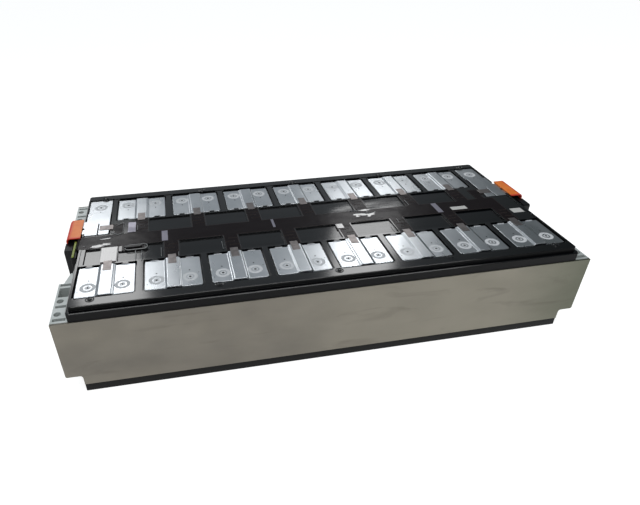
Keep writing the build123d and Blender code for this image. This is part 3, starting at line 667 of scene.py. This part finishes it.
# Connector flap
# The same laminate, folded down over the tray's end into the signal connector.
# It is bent once, round a small radius, and the connector's slide holds it.
flap_x = low.x
flap_points = [(2.0, 0.85), (0.9, 0.8), (0.3, 0.5), (0.0, 0.0), (0.0, -1.6), (0.1, -3.2)]
flap_mesh = bpy.data.meshes.new("connector_flap_flat")
flap_rows = [-13.0, -9.0, -4.5, 0.0, 4.5, 9.0]
flap_verts = [(flap_x + a * MM, y * MM, deck_top + b * MM) for a, b in flap_points for y in flap_rows]
across = len(flap_rows)
flap_faces = [
    (i * across + j, (i + 1) * across + j, (i + 1) * across + j + 1, i * across + j + 1)
    for i in range(len(flap_points) - 1) for j in range(across - 1)
]
flap_mesh.from_pydata(flap_verts, [], flap_faces)
flap = bpy.data.objects.new("connector_flap_flat", flap_mesh)
scene.collection.objects.link(flap)
flap_skin = flap.modifiers.new("thickness", "SOLIDIFY")
flap_skin.thickness = 0.3 * MM
flap_skin.offset = -1.0
settled(flap, "connector_flap", laminate, "circuit_film")

# Panel covers
# Thin black film closes each sunk panel between the branches, bonded along its edges.
# It comes off a roll, so its streaks run along the row.
panel_depth = 2.0 * MM
panel_inner, panel_outer, panel_edge = 15.1 * MM, 46.5 * MM, 10.1 * MM
panel_floor = deck_top - panel_depth
# Drawn film: glossy blue black, with long faint streaks in its highlights.
cover, tree, shader = new_material("drawn_black_film", "#06080b", 0.0, 0.12, Specular_IOR_Level=0.3)
grain(tree, shader, 2.5, 0.35, stretch=(12, 1, 1), depth_mm=0.12)
near_middles = [sum(c.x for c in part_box(name)) / 2 for name in near_bars]
far_middles = [sum(c.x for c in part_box(name)) / 2 for name in far_bars]
panel_boxes = []
for middles, side in ((near_middles, -1), (far_middles, 1)):
    for a, b in zip(middles, middles[1:]):
        ends = sorted((side * panel_inner, side * panel_outer))
        panel_boxes.append((a + panel_edge, ends[0], b - panel_edge, ends[1]))
# Only the first near panel leaves room for the raised island under the sensor.
sensor_island = (ear_low.x - 7 * MM, -26.5 * MM, ear_high.x + 7 * MM, -14 * MM)
for count, box in enumerate(panel_boxes):
    island = [sensor_island] if count == 0 else []
    cuts_x = [edge for hole in island for edge in (hole[0], hole[2]) if box[0] < edge < box[2]]
    cuts_y = [edge for hole in island for edge in (hole[1], hole[3]) if box[1] < edge < box[3]]
    sheet_piece(
        f"panel_cover_{count + 1:02d}", inside_boxes([box], island),
        steps(box[0], box[2], *cuts_x, pitch_mm=3.0), steps(box[1], box[3], *cuts_y, pitch_mm=3.0),
        lambda x, y: panel_floor + 0.2 * MM + 0.5 * ripple(x * 0.6, y * 1.3), 0.15 * MM, cover,
        "tray_moulding",
    )

# Tape
# Strips of polyester tape hold the laminate down where it is folded or left loose.
# They are laid by hand across the band and follow its ripple.
# Silvered tape: lilac grey with a soft metallic gleam.
tape, tree, shader = new_material("silver_polyester_tape", "#8f8c98", 0.4, 0.22)
grain(tree, shader, 3.0, 0.3, stretch=(1, 4, 1), depth_mm=0.1)
tape_boxes = [
    (-183.5, -12.5, -176.5, 11.0), (-50.5, -7.0, -47.5, 12.5), (161.5, -12.5, 168.5, 12.5),
    (-223.0, 15.5, -214.0, 40.0),
]
for count, box in enumerate(tape_boxes):
    a, b, c, d = (e * MM for e in box)
    sheet_piece(
        f"tape_strip_{count + 1}", inside_boxes([(a, b, c, d)]), steps(a, c), steps(b, d, pitch_mm=2.0),
        lambda x, y: deck_top + 0.3 * MM + ripple(x, y), 0.12 * MM, tape, "circuit_film",
    )

# Clear film patches
# Clear adhesive film, torn off by hand, holds the laminate near the connector and midway.
# Some of it crumpled as it was pressed down, and its creases catch the light.
# Adhesive film: glossy over the dark laminate, which gives small sharp glints.
clear, tree, shader = new_material("clear_adhesive_film", "#120e10", 0.0, 0.09, Specular_IOR_Level=0.85)
grain(tree, shader, 3.0, 0.25, stretch=(2, 1, 1), depth_mm=0.1)
torn_core, torn_swing = 0.72, 0.75
spare = 1.3


def torn(mid_x, mid_y, reach_x, reach_y):
    """A test for points inside a film patch whose edge is torn and uneven; all sizes are in metres."""

    def inside(x, y):
        away = math.hypot((x - mid_x) / reach_x, (y - mid_y) / reach_y)
        return away < torn_core + torn_swing * noise.noise(Vector((x / (7 * MM), y / (2.6 * MM), 4.4)))

    return inside


crumples = [
    (-252.0, -9.0, 17.0, 4.6), (-247.0, 6.5, 10.0, 3.4), (69.0, 3.0, 17.0, 7.0), (61.0, 13.0, 16.0, 3.4),
]
for count, (mid_x, mid_y, reach_x, reach_y) in enumerate(crumples):
    sheet_piece(
        f"crumpled_film_{count + 1}", torn(mid_x * MM, mid_y * MM, reach_x * MM, reach_y * MM),
        steps((mid_x - spare * reach_x) * MM, (mid_x + spare * reach_x) * MM, pitch_mm=0.8),
        steps((mid_y - spare * reach_y) * MM, (mid_y + spare * reach_y) * MM, pitch_mm=0.5),
        lambda x, y: deck_top + (0.35 + 0.22 * noise.noise(Vector((x / (13 * MM), y / (5 * MM), 1.7)))) * MM
        + ripple(x, y), 0.1 * MM, clear, "circuit_film",
    )
flat_boxes = [(-250.6, -46.0, -233.6, -15.5), (24.5, -26.0, 33.0, -15.5)]
for count, box in enumerate(flat_boxes):
    a, b, c, d = (e * MM for e in box)
    sheet_piece(
        f"pressed_film_{count + 1}", inside_boxes([(a, b, c, d)]),
        steps(a, c, pitch_mm=3.0), steps(b, d, pitch_mm=3.0),
        lambda x, y: deck_top + 0.55 * MM + 0.3 * ripple(x, y), 0.1 * MM, clear, "circuit_film",
    )


# Sealing beads and edges
# A fine bead of cured resin is laid round the sensor's ear. Edges of the laminate that lift a little
# after cutting are drawn as pale lines of about the same width, a painted highlight for the light they catch.
def bead_line(name, points, radius_mm, material, slot, closed=False):
    """A round bead laid through points given in millimetres."""
    line = bpy.data.curves.new(name + "_line", "CURVE")
    line.dimensions = "3D"
    line.bevel_depth = radius_mm * MM
    line.bevel_resolution = 1
    line.use_fill_caps = True
    path = line.splines.new("POLY")
    path.points.add(len(points) - 1)
    for spot, (x, y, z) in zip(path.points, points):
        spot.co = (x * MM, y * MM, z * MM, 1.0)
    path.use_cyclic_u = closed
    source = bpy.data.objects.new(name + "_line", line)
    scene.collection.objects.link(source)
    return settled(source, name, material, slot)


# Cured resin: pale grey with a small wet highlight. The same pale material draws the laminate's lifted edges
# as painted highlight.
resin_and_edge_highlight, tree, shader = new_material("cured_sealing_resin", "#8e9090", 0.0, 0.3)
grain(tree, shader, 1.0, 0.4)
film_level = deck_top / MM + 0.75
racetrack = []
racetrack_points = 32
for step in range(racetrack_points):
    turn = 2 * math.pi * (step + 0.5) / racetrack_points
    straight = math.copysign(8.0, math.cos(turn))
    racetrack.append((-212.5 + straight + 4.6 * math.cos(turn), -20.6 + 5.2 * math.sin(turn), film_level))
bead_line("sensor_bead", racetrack, 0.4, resin_and_edge_highlight, "sensor_resin", closed=True)
# The hook's edge and the lifted edges below are pale lines of the same material, painted highlights.
hook_corners = ((-243, 20), (-235, 12), (-228.6, 15), (-228.6, 41), (-237, 35))
bead_line("hook_edge", [(x, y, film_level) for x, y in hook_corners], 0.35, resin_and_edge_highlight, "circuit_film")
lifted_edges = (
    (-184.6, -46.5, -27.5), (-165.6, -49.0, -41.0), (-211.8, 20.0, 31.0), (132.9, 15.5, 30.0),
    (102.8, -26.5, -17.0), (91.6, -44.5, -28.0), (99.5, -50.5, -43.5), (-115.6, -45.0, -28.0),
    (-212.9, -50.0, -28.5), (-206.0, -50.0, -29.5),
)
for count, (x, near_y, far_y) in enumerate(lifted_edges):
    bead_line(
        f"lifted_edge_{count + 1:02d}", [(x, near_y, film_level - 0.2), (x, far_y, film_level - 0.2)], 0.28,
        resin_and_edge_highlight, "circuit_film",
    )

# Output bar features
# One press tool creases each output bar across its width, slits it free beside its sense tab and lances
# a small tongue. The crease, slit and score are drawn as black lines on the pad, painted shade for the narrow
# cuts and the bend.
pad_mm = pad_top / MM
output_marks = (
    ("crease", (244.8, 74.6), (274.5, 76.0), 0.38),
    ("slit", (258.4, 20.6), (258.4, 45.5), 0.42),
    ("score", (244.8, 46.4), (255.0, 46.4), 0.2),
)
for end, side in (("left", -1), ("right", 1)):
    for mark, start, stop, radius_mm in output_marks:
        points = [(side * x, y, pad_mm) for x, y in (start, stop)]
        bead_line(f"output_{mark}_{end}", points, radius_mm, painted_hole_shade, "busbar_metal")
    scatter(
        f"output_lance_{end}", [(side * 249.2 * MM, 28.6 * MM, pad_top + lip_lift)], block, bar_metal,
        "busbar_metal", length=9.4 * MM, width=3.4 * MM, depth=0.8 * MM,
    )

# Sense tabs
# Nickel strips, punched and soldered to the laminate, run from each branch onto its bar and are welded
# there, to read the voltage of the cells.
# Rolled nickel: warm grey and satin, a little darker than the bars.
tabs, tree, shader = new_material("rolled_nickel", "#86807e", 1.0, 0.38)
blotch(tree, shader, "#7c7674", "#928b89", 6.0)
grain(tree, shader, 0.6, 0.3, stretch=(1, 12, 1), depth_mm=0.03)
dressed("sense_tabs", 0.08, tabs, "nickel_strip")

# Temperature sensor
# A thermistor stands on the laminate's ear, potted in dark resin.
# The pale sealing bead above runs round it.
# Potting resin: near black with a blurred highlight.
resin, tree, shader = new_material("potting_resin", "#131315", 0.0, 0.3, Specular_IOR_Level=0.2)
grain(tree, shader, 2.0, 0.15)
dressed("temperature_sensor", 0.5, resin, "sensor_resin", segments=3)

# Labels
# Two die-cut paper labels, stuck to the laminate and to the right end panel.
# Both are bare.
# Label paper: off-white and matt.
paper, tree, shader = new_material("label_paper", "#c9c8c4", 0.0, 0.6)
grain(tree, shader, 0.4, 0.2)
finish_nodes(paper, "band_label", "panel_label")

# Terminal bases and inserts
# Moulded nylon blocks hang over the end plates. Each holds a threaded steel insert under its bar's tongue,
# which takes the terminal screw.
# Glass filled nylon: dull black with a fine uneven skin.
base_plastic, tree, shader = new_material("glass_filled_nylon", "#0c0d0f", 0.0, 0.42, Specular_IOR_Level=0.25)
grain(tree, shader, 0.5, 0.4)
for end in ("left", "right"):
    dressed("terminal_base_" + end, 0.4, base_plastic, "base_moulding")
# Zinc plate: warm pale metal, seen only through the tongue's hole.
steel, tree, shader = new_material("zinc_plated_steel", "#b0aea8", 1.0, 0.35)
grain(tree, shader, 0.6, 0.3)
finish_nodes(steel, "terminal_insert_left", "terminal_insert_right")

# Terminal hoods
# Moulded caps clip over the two output terminals and keep fingers off. Their orange warns of high voltage.
# Polypropylene: waxy orange with a soft sheen, with painted red shade on the faces that turn outward and
# near.
hood_plastic, tree, shader = new_material("orange_polypropylene", "#fb8326", 0.0, 0.38)
blotch(tree, shader, "#f57c22", "#fd8c34", 9.0)
shaded_orange = "#e5442c"
toned(tree, shader, "X", 0.2870, 0.2905, shaded_orange)
toned(tree, shader, "Y", 0.0150, 0.0118, shaded_orange)
grain(tree, shader, 0.6, 0.35)
for end in ("left", "right"):
    dressed("terminal_hood_" + end, 0.35, hood_plastic, "hood_orange")

# Signal connector
# A moulded housing of the same nylon as the bases takes the laminate's flap at the left end.
# A slide along its top locks it.
dressed("signal_connector", 0.4, base_plastic, "connector_moulding")
# PBT slide: yellow green and satin, the one bright mark at that end.
lock_plastic, tree, shader = new_material("yellow_green_pbt", "#8c9a3c", 0.0, 0.4)
grain(tree, shader, 0.6, 0.35)
dressed("connector_lock", 0.3, lock_plastic, "lock_green")

scene.view_settings.view_transform = "Standard"
